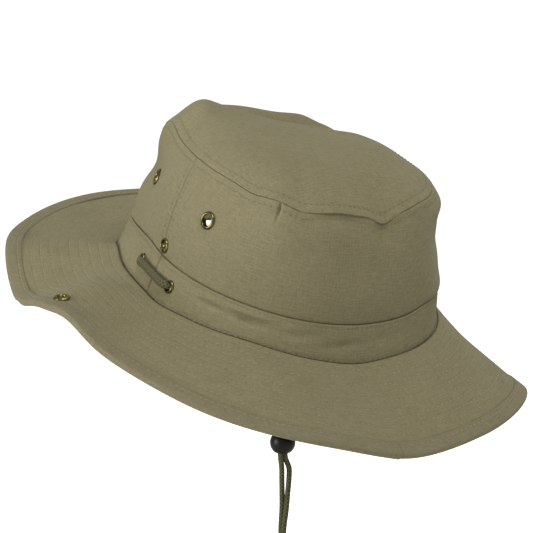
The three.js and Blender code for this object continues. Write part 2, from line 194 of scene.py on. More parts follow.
def tip_at(a, v):
    """The soft top: a dome that has sunk in at the front right and stands up around the dent."""
    edge = ring(TIP_EDGE, a)
    middle = np.array([0, TIP_EDGE["back"], TIP_EDGE["height"]])
    point = middle + (edge - middle) * v[..., None]
    x, y = point[..., 0], point[..., 1] - TIP_EDGE["back"]
    near, across = TIP_TURN[0] * x + TIP_TURN[1] * y, TIP_TURN[0] * y - TIP_TURN[1] * x
    saddle = TIP_EDGE["saddle"] * np.cos(2 * a)
    point[..., 2] += saddle * (v**2 - v) + waves(a, TIP_EDGE["waves"]) * (v**4 - v)
    lean = 0.12 * x / TIP_EDGE["side"] - 0.12 * y / TIP_EDGE["length"]
    rise = TIP_DOME * (1 + lean) * (1 - v**4)
    for at_near, at_across, spread_near, spread_across, height in TIP_BUMPS:
        away = ((near - at_near) / spread_near) ** 2 + ((across - at_across) / spread_across) ** 2
        rise = rise + height * np.exp(-away) * (1 - v**6)
    point[..., 2] += rise
    return point


def brim_at(a, v):
    step = 0.001
    along = ring(ROOT, a + step) - ring(ROOT, a - step)
    out = unit(np.stack([along[..., 1], -along[..., 0], np.zeros_like(a)], -1))
    droop = np.radians(periodic(BRIM_DROOP, a))
    point = ring(ROOT, a) + out * (v * np.cos(droop))[..., None]
    point[..., 2] += dents(a, v, BRIM_DENTS) * np.clip(v / 12, 0, 1) - v * np.sin(droop)
    point[..., 2] -= waves(a, ROOT["waves"]) * np.clip(v / BRIM_WIDTH, 0, 1)
    return point


BAND_DENTS = [
    (31.5, 0.6, 4, 0.09, -1.5),
    (45, 0.58, 6.5, 0.12, -1.9),
    (45, 0.8, 7, 0.1, 0.7),
    (62, 0.55, 7, 0.13, -0.7, 0.012),
    (80, 0.45, 9, 0.12, -0.8, 0.01),
    (100, 0.55, 8, 0.2, -0.5),
    (128, 0.5, 7, 0.3, -0.7),
    (-16, 0.5, 6, 0.5, -0.8),
    (150, 0.4, 6, 0.3, 0.6),
]
WALL_DENTS = [
    (-58, 0.55, 30, 0.25, -7.5),
    (-62, 0.12, 28, 0.2, -3.0),
    (142, 0.86, 14, 0.1, 3.2),
    (139, 0.5, 14, 0.16, -2.0),
    (136, 0.06, 14, 0.12, 2.6),
    (TUCK, 0.92, 0.55, 0.075, -1.9),
    (52, 0.8, 8, 0.2, 1.2),
    (70, 0.97, 14, 0.1, -1.6),
    (98, 0.9, 6, 0.14, -2.2),
    (82, 0.55, 12, 0.3, -1.8),
    (30, 0.5, 14, 0.4, 1.0),
]
TIP_BUMPS = [
    (-46, -2, 12, 34, -11),
    (-14, -54, 24, 13, 8.5),
    (-63, 10, 10, 15, 10.5),
    (-56, 19, 9, 6, 4),
    (-22, 26, 14, 22, -3.6),
    (-10, 62, 30, 10, -2),
    (-24, -10, 16, 20, -2.6),
    (-50, 35, 12, 9, 3.6),
]
BRIM_DENTS = [
    (0, 30, 6, 26, 1.5),
    (22, 40, 10, 30, -1.5),
    (-4, 62, 7.5, 18, -5.4),
    (15, 62, 6.5, 20, 5),
]


def normals_of(surface, a, v, dv):
    da = 0.004
    around = surface(a + da, v) - surface(a - da, v)
    up = surface(a, v + dv) - surface(a, v - dv)
    return unit(np.cross(around, up))


def raised(surface, a, v, height, dv, sense=1):
    return surface(a, v) + normals_of(surface, a, v, dv) * (sense * height)[..., None]


# ---- meshes ----


def new_object(name, verts, faces, material, uv=None):
    """A mesh object from arrays: vertices in metres, faces as index rows, uv per vertex in centimetres."""
    mesh = bpy.data.meshes.new(name)
    rows = faces if isinstance(faces, list) else faces.tolist()
    mesh.from_pydata(np.asarray(verts, float).reshape(-1, 3).tolist(), [], rows)
    if uv is not None:
        layer = mesh.uv_layers.new(name="cloth")
        corner = np.empty(len(mesh.loops), np.int32)
        mesh.loops.foreach_get("vertex_index", corner)
        layer.data.foreach_set("uv", np.asarray(uv, np.float32).reshape(-1, 2)[corner].ravel())
    mesh.polygons.foreach_set("use_smooth", [True] * len(mesh.polygons))
    mesh.materials.append(material)
    mesh.update()
    obj = bpy.data.objects.new(name, mesh)
    bpy.context.scene.collection.objects.link(obj)
    return obj


def grid_faces(rows, columns, flip=False, closed=False):
    index = np.arange(rows * columns).reshape(rows, columns)
    if closed:
        index = np.concatenate([index, index[:1]])
    faces = np.stack([index[:-1, :-1], index[1:, :-1], index[1:, 1:], index[:-1, 1:]], -1).reshape(-1, 4)
    return faces[:, ::-1] if flip else faces


def cloth_object(name, outer, inner, uv, material, closed=False, ends_open=False):
    """A panel with thickness between two grids of points, closed along its edges. A closed one runs
    right around, from its last row to its first. Open ends are for panels that carry on in the next."""
    rows, columns = outer.shape[:2]
    count = rows * columns
    index = np.arange(count).reshape(rows, columns)
    faces = [grid_faces(rows, columns, False, closed), grid_faces(rows, columns, True, closed) + count]
    ends = [] if closed or ends_open else [(index[0], False), (index[-1], True)]
    around = np.concatenate([index, index[:1]]) if closed else index
    for line, flip in [*ends, (around[:, 0], True), (around[:, -1], False)]:
        strip = np.stack([line[:-1], line[1:], line[1:] + count, line[:-1] + count], -1)
        faces.append(strip[:, ::-1] if flip else strip)
    verts = np.concatenate([outer.reshape(-1, 3), inner.reshape(-1, 3)])
    uvs = np.concatenate([uv.reshape(-1, 2)] * 2)
    return new_object(name, to_world(verts), np.concatenate(faces), material, uvs)


def cloth_uv(surface, a, v):
    """Lengths along the cloth in centimetres, so that the weave keeps its size."""
    points = surface(a, v)
    u = np.zeros(a.shape)
    w = np.zeros(a.shape)
    u[1:] = np.cumsum(np.linalg.norm(np.diff(points, axis=0), axis=-1).mean(1))[:, None]
    w[:, 1:] = np.cumsum(np.linalg.norm(np.diff(points, axis=1), axis=-1), 1)
    return np.stack([u, w], -1) / 10


def near_edges(lo, hi, step, scale):
    """Evenly spaced places with extra ones close to both ends. Scale turns millimetres into their unit."""
    inner = np.linspace(lo + 4.7 * scale, hi - 4.7 * scale, max(2, round((hi - lo) / step)))
    edge = np.array([0, 0.25, 0.5, 0.8, 1.2, 1.7, 2.2, 2.6, 3, 3.4, 3.9]) * scale
    return np.concatenate([lo + edge, inner, (hi - edge)[::-1]])


def edge_dip(distance, depth=0.75, width=0.6):
    return -depth * np.exp(-((distance / width) ** 2))


def lathe(name, profile, segments, material, place, up=None):
    """A turned piece from a closed list of (radius, height) in millimetres."""
    profile = np.array(profile + [profile[0]], float)
    t = np.linspace(0, 2 * np.pi, segments + 1)[:-1]
    heights = np.tile(profile[:-1, 1], (segments, 1))
    radii = profile[:-1, 0]
    verts = np.stack([np.outer(np.cos(t), radii), np.outer(np.sin(t), radii), heights], -1)
    n = len(profile) - 1
    index = np.arange(segments * n).reshape(segments, n)
    nxt = np.roll(index, -1, 0)
    faces = np.stack([index, nxt, np.roll(nxt, -1, 1), np.roll(index, -1, 1)], -1).reshape(-1, 4)
    uv = np.stack([np.repeat(t[:, None], n, 1), heights], -1)
    obj = new_object(name, verts * 0.001, faces, material, uv)
    if up is not None:
        obj.rotation_mode = "QUATERNION"
        obj.rotation_quaternion = Vector(up).to_track_quat("Z", "Y")
    obj.location = Vector(place)
    return obj


def smooth_profile(points):
    """A closed outline rounded by corner cutting, so that turned edges catch the light."""
    p = np.array(points, float)
    for _ in range(2):
        q = np.roll(p, -1, 0)
        p = np.stack([p * 0.78 + q * 0.22, p * 0.22 + q * 0.78], 1).reshape(-1, 2)
        p[:, 0] = np.maximum(p[:, 0], 0)
    return [tuple(x) for x in p]


def catmull(points, per_span):
    """A smooth line through given points."""
    p = np.array(points, float)
    p = np.concatenate([[2 * p[0] - p[1]], p, [2 * p[-1] - p[-2]]])
    line = []
    for i in range(1, len(p) - 2):
        gaps = [max(np.linalg.norm(p[i + k + 1] - p[i + k]) ** 0.5, 1e-6) for k in (-1, 0, 1)]
        before, here, after = (p[i + k + 1] - p[i + k] for k in (-1, 0, 1))
        m1 = before / gaps[0] - (p[i + 1] - p[i - 1]) / (gaps[0] + gaps[1]) + here / gaps[1]
        m2 = here / gaps[1] - (p[i + 2] - p[i]) / (gaps[1] + gaps[2]) + after / gaps[2]
        m1, m2 = m1 * gaps[1], m2 * gaps[1]
        for t in np.arange(per_span) / per_span:
            h = (2 * t**3 - 3 * t**2 + 1, t**3 - 2 * t**2 + t, 3 * t**2 - 2 * t**3, t**3 - t**2)
            line.append(h[0] * p[i] + h[1] * m1 + h[2] * p[i + 1] + h[3] * m2)
    return np.array(line + [p[-2]])


def tube(name, centre, width, height, normal, sides, material, braid=0.0):
    """A tube along a line in metres, with an oval section that is height across along normal. Its faces
    follow a braid's crossing strands."""
    centre = np.asarray(centre, float)
    forward = unit(np.gradient(centre, axis=0))
    side = unit(np.cross(forward, normal))
    up = unit(np.cross(side, forward))
    length = np.concatenate([[0], np.cumsum(np.linalg.norm(np.diff(centre, axis=0), axis=1))])
    t = np.linspace(0, 2 * np.pi, sides + 1)[:-1]
    pitch = 0.0042
    turn = 2 * np.pi * length[:, None] / pitch
    weave = np.abs(np.sin(2 * t[None] + turn)) ** 0.6 + np.abs(np.sin(2 * t[None] - turn)) ** 0.6
    size = 1 + braid * (weave - 1.3)
    c, s = np.cos(t)[None] * size, np.sin(t)[None] * size
    wide = np.broadcast_to(width, length.shape)[:, None, None]
    tall = np.broadcast_to(height, length.shape)[:, None, None]
    verts = centre[:, None] + side[:, None] * c[..., None] * wide / 2 + up[:, None] * s[..., None] * tall / 2
    rows = len(centre)
    index = np.arange(rows * sides).reshape(rows, sides)
    nxt = np.roll(index, -1, 1)
    faces = np.stack([index[:-1], index[1:], nxt[1:], nxt[:-1]], -1).reshape(-1, 4).tolist()
    faces += [index[0].tolist(), index[-1][::-1].tolist()]
    uv = np.stack([np.repeat(length[:, None], sides, 1) * 100, np.tile(t / (2 * np.pi), (rows, 1))], -1)
    return new_object(name, verts, faces, material, uv)


# ---- materials ----


def linear(*srgb):
    """A colour given as 0 to 255 screen values."""
    return tuple(((c / 255 + 0.055) / 1.055) ** 2.4 if c > 10 else c / 3295 for c in srgb) + (1,)


class Nodes:
    """A few words for wiring shader nodes."""

    def __init__(self, name):
        self.material = bpy.data.materials.new(name)
        self.material.use_nodes = True
        self.tree = self.material.node_tree
        self.shader = self.tree.nodes["Principled BSDF"]

    def add(self, kind, inputs=None, **settings):
        node = self.tree.nodes.new(kind)
        for key, value in settings.items():
            setattr(node, key, value)
        for key, value in (inputs or {}).items():
            socket = node.inputs[key]
            if isinstance(value, bpy.types.NodeSocket):
                self.tree.links.new(value, socket)
            else:
                socket.default_value = value
        return node

    def math(self, operation, a, b=None, c=None):
        values = {i: v for i, v in enumerate((a, b, c)) if v is not None}
        return self.add("ShaderNodeMath", values, operation=operation).outputs[0]

    def mix(self, share, a, b):
        node = self.add("ShaderNodeMix", {0: share, 6: a, 7: b}, data_type="RGBA")
        return node.outputs[2]

    def noise(self, vector, scale, detail=2.0, roughness=0.5):
        inputs = {"Vector": vector, "Scale": scale, "Detail": detail, "Roughness": roughness}
        return self.add("ShaderNodeTexNoise", inputs).outputs["Fac"]

    def stretched(self, vector, scale):
        return self.add("ShaderNodeMapping", {"Vector": vector, "Scale": scale}).outputs[0]

    def ramp(self, value, stops):
        node = self.add("ShaderNodeValToRGB", {"Fac": value})
        elements = node.color_ramp.elements
        while len(elements) < len(stops):
            elements.new(0.5)
        for element, (place, colour) in zip(elements, stops):
            element.position, element.color = place, colour
        return node.outputs[0]

    def to(self, **links):
        for key, value in links.items():
            socket = self.shader.inputs[key.replace("_", " ")]
            if isinstance(value, bpy.types.NodeSocket):
                self.tree.links.new(value, socket)
            else:
                socket.default_value = value
        return self.material


def twill(name, light, dark, warp, bump=0.5):
    """Cotton twill: a diagonal weave, slubs along both threads and faint patches of wear."""
    n = Nodes(name)
    uv = n.add("ShaderNodeUVMap", uv_map="cloth").outputs[0]
    x, y = (n.add("ShaderNodeSeparateXYZ", {0: uv}).outputs[i] for i in (0, 1))
    wander = n.math("MULTIPLY", n.noise(uv, 6, 2), 0.05)
    diagonal = n.math("ADD", n.math("ADD", x, y), wander)
    rib = n.math("SINE", n.math("MULTIPLY", diagonal, 2 * math.pi * 15))
    slant = n.math("SUBTRACT", x, n.math("MULTIPLY", y, 0.4))
    thread = n.math("SINE", n.math("MULTIPLY", slant, 2 * math.pi * 26))
    weave = n.math("ADD", n.math("MULTIPLY", rib, 0.35), n.math("MULTIPLY", thread, 0.15))
    slub_a = n.noise(n.stretched(uv, (1.6, 13, 1)), 1.0, 4, 0.7)
    slub_b = n.noise(n.stretched(uv, (13, 1.6, 1)), 1.0, 4, 0.7)
    patches = n.noise(uv, 0.35, 4, 0.6)
    fine = n.noise(uv, 14, 3, 0.75)
    tone = n.math("ADD", n.math("MULTIPLY", slub_a, 0.34), n.math("MULTIPLY", slub_b, 0.26))
    tone = n.math("ADD", tone, n.math("MULTIPLY", patches, 0.08))
    tone = n.math("ADD", tone, n.math("MULTIPLY", fine, 0.3))
    tone = n.math("ADD", tone, n.math("MULTIPLY", weave, 0.1))
    colour = n.ramp(tone, [(0.36, dark), (0.52, light), (0.7, warp)])
    slubs = n.math("ADD", n.math("MULTIPLY", slub_a, 1.2), n.math("MULTIPLY", slub_b, 1.2))
    height = n.math("ADD", weave, slubs)
    height = n.math("ADD", height, fine)
    normal = n.add("ShaderNodeBump", {"Height": height, "Strength": bump, "Distance": 0.00012}).outputs[0]
    rough = n.math("MULTIPLY_ADD", tone, 0.12, 0.8)
    return n.to(
        Base_Color=colour,
        Normal=normal,
        Roughness=rough,
        Specular_IOR_Level=0.18,
        Sheen_Weight=0.08,
        Sheen_Roughness=0.3,
        Sheen_Tint=(0.8, 0.86, 0.74, 1),
    )


def braid_material(name, light, dark):
    n = Nodes(name)
    uv = n.add("ShaderNodeUVMap", uv_map="cloth").outputs[0]
    x, y = (n.add("ShaderNodeSeparateXYZ", {0: uv}).outputs[i] for i in (0, 1))
    around = n.math("MULTIPLY", y, 4 * math.pi * 2)
    along = n.math("MULTIPLY", x, 2 * math.pi * 4.8)
    left = n.math("SINE", n.math("ADD", around, along))
    right = n.math("SINE", n.math("SUBTRACT", around, along))
    strands = n.math("MAXIMUM", left, right)
    fibre = n.noise(n.stretched(uv, (10, 60, 1)), 2.0, 3, 0.6)
    tone = n.math("ADD", n.math("MULTIPLY", strands, 0.25), n.math("MULTIPLY", fibre, 0.8))
    colour = n.ramp(tone, [(0.15, dark), (0.75, light)])
    height = n.math("ADD", strands, n.math("MULTIPLY", fibre, 0.6))
    normal = n.add("ShaderNodeBump", {"Height": height, "Strength": 0.6, "Distance": 0.0003}).outputs[0]
    return n.to(Base_Color=colour, Normal=normal, Roughness=0.8, Specular_IOR_Level=0.12)


def thread_material(name, colour, dark):
    n = Nodes(name)
    place = n.add("ShaderNodeTexCoord").outputs["Object"]
    fibre = n.noise(place, 900, 2, 0.6)
    return n.to(Base_Color=n.mix(fibre, dark, colour), Roughness=0.7, Specular_IOR_Level=0.2)


def brass_material(name):
    """Antique brass: dark patina with the raised edges worn bright."""
    n = Nodes(name)
    place = n.add("ShaderNodeTexCoord").outputs["Object"]
    blotch = n.noise(place, 420, 4, 0.6)
    scratch = n.noise(n.stretched(place, (1, 1, 7)), 900, 2, 0.7)
    worn = n.add("ShaderNodeNewGeometry").outputs["Pointiness"]
    bright = n.math("ADD", n.math("MULTIPLY", blotch, 0.7), n.math("MULTIPLY_ADD", worn, 2.2, -1.0))
    colour = n.ramp(bright, [(0.3, linear(76, 70, 40)), (0.7, linear(160, 148, 96))])
    rough = n.math("MULTIPLY_ADD", scratch, 0.22, 0.16)
    normal = n.add("ShaderNodeBump", {"Height": blotch, "Strength": 0.15, "Distance": 0.0002}).outputs[0]
    return n.to(Base_Color=colour, Roughness=rough, Normal=normal, Metallic=1.0)


def plastic_material(name):
    n = Nodes(name)
    place = n.add("ShaderNodeTexCoord").outputs["Object"]
    grain = n.noise(place, 1500, 2, 0.5)
    scuff = n.noise(place, 130, 4, 0.6)
    colour = n.mix(scuff, linear(11, 12, 10), linear(16, 18, 14))
    rough = n.math("MULTIPLY_ADD", scuff, 0.14, 0.3)
    normal = n.add("ShaderNodeBump", {"Height": grain, "Strength": 0.08, "Distance": 0.0001}).outputs[0]
    return n.to(Base_Color=colour, Roughness=rough, Normal=normal, Specular_IOR_Level=0.22)


TWILL = twill("twill", linear(134, 127, 97), linear(110, 103, 76), linear(152, 145, 113))
BINDING = twill("twill_binding", linear(131, 124, 97), linear(108, 101, 76), linear(150, 143, 114))
LINING = twill("cotton_lining", linear(150, 144, 118), linear(132, 126, 100), linear(160, 154, 130), 0.35)
THREAD = thread_material("thread", linear(172, 167, 136), linear(138, 132, 102))
SEAM_THREAD = thread_material("seam_thread", linear(146, 139, 109), linear(108, 101, 76))
# Near-black thread for the brim's root seam: its dark colour is painted shade, standing in for the shadow in
# the groove where the brim meets the band.
ROOT_SHADE_THREAD = thread_material("root_shade_thread", linear(92, 85, 60), linear(66, 60, 40))
CORD = braid_material("cord_braid", linear(108, 103, 74), linear(60, 58, 38))
BRASS = brass_material("antique_brass")
PLASTIC = plastic_material("black_plastic")

# ---- camera ----


def add_camera():
    azimuth, rise = math.radians(34.46), math.radians(5.8)
    back = Vector((math.sin(azimuth) * math.cos(rise), math.cos(azimuth) * math.cos(rise), math.sin(rise)))
    data = bpy.data.cameras.new("camera")
    data.lens, data.sensor_width = 163.6, 36
    data.clip_start, data.clip_end = 0.05, 50
    camera = bpy.data.objects.new("camera", data)
    camera.location = Vector((-0.0014, -0.0003, 0.0098)) + back * 1.3186
    camera.rotation_mode = "QUATERNION"
    camera.rotation_quaternion = (-back).to_track_quat("-Z", "Y")
    bpy.context.scene.collection.objects.link(camera)
    bpy.context.scene.camera = camera


add_camera()

# ---- the chin cord and its ball ----

CORD_DIAMETER = 0.0029
CORD_ROUTE = [
    (74, 27.4, 5.4), (69.8, 26.7, 4.1), (65.2, 25.3, 1.4), (59.6, 23.9, -3.6), (48, 22.2, -15.6),
    (36.2, 21.6, -30.2), (24.6, 21.3, -45.6), (13.8, 21.1, -58.6), (6.8, 21, -67.6), (4.4, 21, -74),
    (4.2, 21, -80), (4.2, 21, -87), (4, 21, -92), (3, 20.6, -97), (2.6, 20.2, -104),
    (2, 19.5, -111), (1.8, 19.2, -120), (2.3, 18.9, -132), (2.6, 19.4, -146), (2.7, 19.4, -161),
    (5, 18, -176), (8.2, 16.4, -191), (10.4, 15.6, -206), (9.4, 15.2, -217.5), (4.8, 15.2, -225),
    (-1, 15.4, -224.5), (-5, 16, -216), (-4.8, 17.2, -202), (-2.4, 19.2, -188), (1.4, 21.6, -172),
    (2.6, 22.6, -160), (2.6, 22.6, -147), (2.9, 22.4, -132), (1.4, 22.7, -120), (0.3, 22.5, -111),
    (-0.9, 21.9, -104), (-1.3, 21.4, -98), (0.9, 21, -92), (1, 21, -87), (1, 21, -80),
    (0.8, 21, -74), (-2, 21, -67.6), (-10, 21.1, -58.6), (-22.2, 21.3, -45.6), (-34.8, 21.6, -30.2),
    (-47.4, 22.2, -15.6), (-59.4, 23.9, -3.6), (-65.2, 25.3, 1.4), (-69.8, 26.7, 4.1), (-74, 27.4, 5.4),
]  # fmt: skip


def add_chin_cord():
    path = catmull(np.array(CORD_ROUTE) * 0.001, 16)
    normal = np.tile([0.0, 1.0, 0.02], (len(path), 1))
    cord = tube("chin_cord_braid", path, CORD_DIAMETER, CORD_DIAMETER, normal, 24, CORD, braid=0.07)
    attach(cord, "hat")
    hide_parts("chin_cord")
    arc = np.linspace(-1.05, 1.05, 22)
    radius, flat, bore = 6.9, 5.5, 3.5
    profile = [(bore, -flat + 0.5), (bore + 0.5, -flat)]
    profile += [(radius * math.cos(t), radius * math.sin(t)) for t in arc if abs(radius * math.sin(t)) < flat]
    profile += [(bore + 0.5, flat), (bore, flat - 0.5)]
    ball = lathe("toggle_ball_turned", profile, 64, PLASTIC, BALL)
    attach(ball, "toggle")
    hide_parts("toggle_ball")


add_chin_cord()

# ---- stitching ----


def stitch_verts(points, normal, length, gap, width):
    """Separate stitches along a line that lies on the cloth: rises in the middle and dives in at the ends."""
    s = np.concatenate([[0], np.cumsum(np.linalg.norm(np.diff(points, axis=0), axis=1))])
    starts = np.arange(0, s[-1] - length, length + gap)
    t = np.array([0, 0.12, 0.35, 0.65, 0.88, 1.0])
    at = starts[:, None] + t[None] * length

    def sample(values):
        return np.stack([np.interp(at, s, values[:, k]) for k in range(3)], -1)

    centre, up = sample(points), unit(sample(normal))
    centre = centre + up * (np.array([-0.25, 0.0, 0.14, 0.14, 0.0, -0.25]) * width / 0.42)[None, :, None]
    forward = unit(np.gradient(centre, axis=1))
    side = unit(np.cross(forward, up))
    up = np.cross(side, forward)
    angles = np.linspace(0, 2 * np.pi, 7)[:-1]
    size = np.array([0.35, 0.85, 1, 1, 0.85, 0.35]) * width / 2
    return (
        centre[:, :, None]
        + side[:, :, None] * (np.cos(angles)[None, None, :, None] * size[None, :, None, None])
        + up[:, :, None] * (np.sin(angles)[None, None, :, None] * size[None, :, None, None] * 0.8)
    )


def stitch_faces(count):
    index = np.arange(36).reshape(6, 6)
    nxt = np.roll(index, -1, 1)
    one = np.stack([index[:-1], index[1:], nxt[1:], nxt[:-1]], -1).reshape(-1, 4)
    return (one[None] + 36 * np.arange(count)[:, None, None]).reshape(-1, 4)


def stitch_object(name, lines, length=2.5, gap=0.75, width=0.42, keep=None, material=None):
    """lines: a list of (points, normals) in millimetres. keep chooses stitches by their middle."""
    parts = [stitch_verts(p, n, length, gap, width) for p, n in lines]
    verts = np.concatenate(parts)
    if keep is not None:
        verts = verts[keep(verts.mean((1, 2)))]
    return new_object(name, to_world(verts), stitch_faces(len(verts)), material or THREAD)


def line_on(surface, relief, a, v, dv, sense=1, face=0.0):
    points = raised(surface, a, v, relief(a, v) + face, dv, sense)
    return points, normals_of(surface, a, v, dv) * sense


# ---- crown ----


def seam_depth(a):
    """The seam round the top is pulled flat on a stretch at the left back."""
    return 0.34 + waves(a, [(35, 11, -0.33)])


def wall_relief(a, v):
    """Height of the wall's outer face: it turns in at its seams, and the sewn rows sink a little."""
    dip = edge_dip((1 - v) * WALL_LENGTH, seam_depth(a)) + np.where(v < 0.012, -0.6, 0)
    dip = dip - 0.35 * np.exp(-np.maximum(v, 0) * WALL_LENGTH / 0.6)
    for seam in (SIDE_SEAM, math.pi - SIDE_SEAM):
        across = ((a - seam + np.pi) % (2 * np.pi) - np.pi) * WALL_RADIUS
        dip = dip + edge_dip(across, 0.6, 0.6) - 0.14 * np.exp(-(((np.abs(across) - 3) / 0.5) ** 2))
    dip = dip - 0.14 * np.exp(-((((1 - v) * WALL_LENGTH - 3.4) / 0.6) ** 2))
    return dip + puckers(a, (1 - v) * WALL_LENGTH, 3.4, 0.12)


def puckers(a, distance, at, height):
    """The small gathers that a row of stitching leaves beside itself."""
    waves = np.sin(230 * a) * 0.6 + np.sin(171 * a + 1) * 0.4
    return height * waves * np.exp(-(((distance - at) / 1.6) ** 2))


def band_relief(a, v):
    dip = edge_dip((1 - v) * BAND_LENGTH, 0.3, 0.4) + edge_dip(v * BAND_LENGTH, 0.1, 0.3)
    for seam in (SIDE_SEAM, math.pi - SIDE_SEAM):
        across = ((a - seam + np.pi) % (2 * np.pi) - np.pi) * BAND_RADIUS
        dip = dip + edge_dip(across, 1.0, 0.5)
    for at in (1.7, BAND_LENGTH - 1.8):
        row = v * BAND_LENGTH
        dip = dip - 0.16 * np.exp(-(((row - at) / 0.5) ** 2)) + puckers(a, row, at, 0.12)
    return dip


def tip_relief(a, v):
    distance = (1 - v) * TIP_LENGTH
    dip = edge_dip(distance, seam_depth(a)) - 0.14 * np.exp(-(((distance - 3.6) / 0.6) ** 2))
    return dip + puckers(a, distance, 3.6, 0.12)


def crown_spans():
    gap = 0.15 / 80
    return {
        "back": (SIDE_SEAM + gap, math.pi - SIDE_SEAM - gap),
        "front": (math.pi - SIDE_SEAM + gap - 2 * math.pi, SIDE_SEAM - gap),
    }


def without_faces(obj, centres, radius):
    """Removes the faces around each centre, where a fitting goes through the cloth."""
    mesh = obj.data
    count = len(mesh.polygons)
    middle = np.empty(count * 3, np.float32)
    mesh.polygons.foreach_get("center", middle)
    middle = middle.reshape(-1, 3)
    near = np.zeros(count, bool)
    for centre in centres:
        near |= np.linalg.norm(middle - np.array(centre), axis=1) < radius
    bm = bmesh.new()
    bm.from_mesh(mesh)
    bm.faces.ensure_lookup_table()
    bmesh.ops.delete(bm, geom=[bm.faces[i] for i in np.flatnonzero(near)], context="FACES")
    bm.to_mesh(mesh)
    bm.free()


SIDES = {"left": 1, "right": -1}
VENT_HOLE, LACE_HOLE = 0.0034, 0.0029  # radii in metres
VENTS = {"front": (-34.1, 0.51), "rear": (23, 0.585)}
LACE_EYELETS = {"front": (-9, 0.5), "rear": (14.5, 0.52)}
CROWN_SNAP = (5.5, 0.11)
BRIM_SNAP = (4.4, 47.6)


def turn_of(side, degrees):
    return math.radians(degrees) if side == "left" else math.pi - math.radians(degrees)


def spot(surface, side, place, dv, sense=1, height=0.0):
    """Where a fitting sits, and the way its face looks, in the row frame."""
    a, v = np.array(turn_of(side, place[0])), np.array(float(place[1]))
    normal = normals_of(surface, a, v, dv) * sense
    where = surface(a, v) + normal * height
    tip = to_world(where + normal) - to_world(where)
    return to_world(where), Vector(unit(tip))


def places(surface, fittings, height=0.0):
    """The middles of a set of fittings on both sides."""
    both = [(side, place) for side in SIDES for place in fittings.values()]
    return [spot(surface, side, place, PANEL_STEP, 1, height)[0] for side, place in both]


def add_cloth_panels():
    vents = places(wall_at, VENTS)
    eyelets = places(band_at, LACE_EYELETS)
    for half, (lo, hi) in crown_spans().items():
        a = near_edges(lo, hi, 0.9 / 78, scale=1 / 78)
        if half == "back":
            a = np.sort(np.concatenate([a, turns(TUCK) + np.linspace(-1.6, 1.6, 12) / 78]))
        top = 1 - np.array([5, 4.4, 3.9, 3.4, 2.9, 2.4, 1.9, 1.4, 1, 0.7, 0.4, 0.15]) / WALL_LENGTH
        v = np.concatenate([[-0.05, -0.03, -0.012, 0], np.linspace(0.012, 0.9, 56), top])
        grid = np.meshgrid(a, v, indexing="ij")
        outer = raised(wall_at, *grid, wall_relief(*grid), PANEL_STEP)
        inner = raised(wall_at, *grid, np.full(grid[0].shape, -WALL_CLOTH), PANEL_STEP)
        wall = cloth_object(f"wall_cloth_{half}", outer, inner, cloth_uv(wall_at, *grid), TWILL)
        without_faces(wall, vents, VENT_HOLE)
        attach(wall, "hat")
        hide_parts(f"crown_wall_{half}")
        v = np.linspace(0, 1, 58)
        grid = np.meshgrid(a, v, indexing="ij")
        outer = raised(band_at, *grid, band_relief(*grid), PANEL_STEP)
        inner = raised(band_at, *grid, np.full(grid[0].shape, -BAND_CLOTH), PANEL_STEP)
        band = cloth_object(f"band_cloth_{half}", outer, inner, cloth_uv(band_at, *grid), TWILL)
        without_faces(band, eyelets, LACE_HOLE)
        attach(band, "hat")
        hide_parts(f"crown_band_{half}")


def add_sweatband():
    a = np.linspace(0, 2 * np.pi, 361)[:-1]
    v = np.linspace(0.05, 0.95, 14)
    grid = np.meshgrid(a, v, indexing="ij")
    roll = 0.3 * np.sin(np.pi * (grid[1] - 0.05) / 0.9)
    outer = raised(band_at, *grid, np.full(grid[0].shape, -1.7), PANEL_STEP)
    inner = raised(band_at, *grid, -2.4 - roll, PANEL_STEP)
    tape = cloth_object("sweatband_tape", outer, inner, cloth_uv(band_at, *grid), LINING, True)
    without_faces(tape, places(band_at, LACE_EYELETS, -2), LACE_HOLE)
    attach(tape, "hat")
    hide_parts("sweatband")


def add_top():
    a = np.linspace(0, 2 * np.pi, 481)[:-1]
    edge = np.array([5.4, 4.8, 4.3, 3.9, 3.6, 3.3, 2.9, 2.4, 1.9, 1.4, 1, 0.7, 0.4, 0.15])
    v = np.concatenate([np.linspace(0.002, 0.92, 80), 1 - edge / TIP_LENGTH])
    grid = np.meshgrid(a, v, indexing="ij")
    outer = raised(tip_at, *grid, tip_relief(*grid), PANEL_STEP, -1)
    inner = raised(tip_at, *grid, np.full(grid[0].shape, -TIP_CLOTH), PANEL_STEP, -1)
    uv = tip_at(*grid)[..., :2] / 10
    top = cloth_object("top_cloth", outer[:, ::-1], inner[:, ::-1], uv[:, ::-1], TWILL, True)
    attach(top, "hat")
    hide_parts("crown_top")


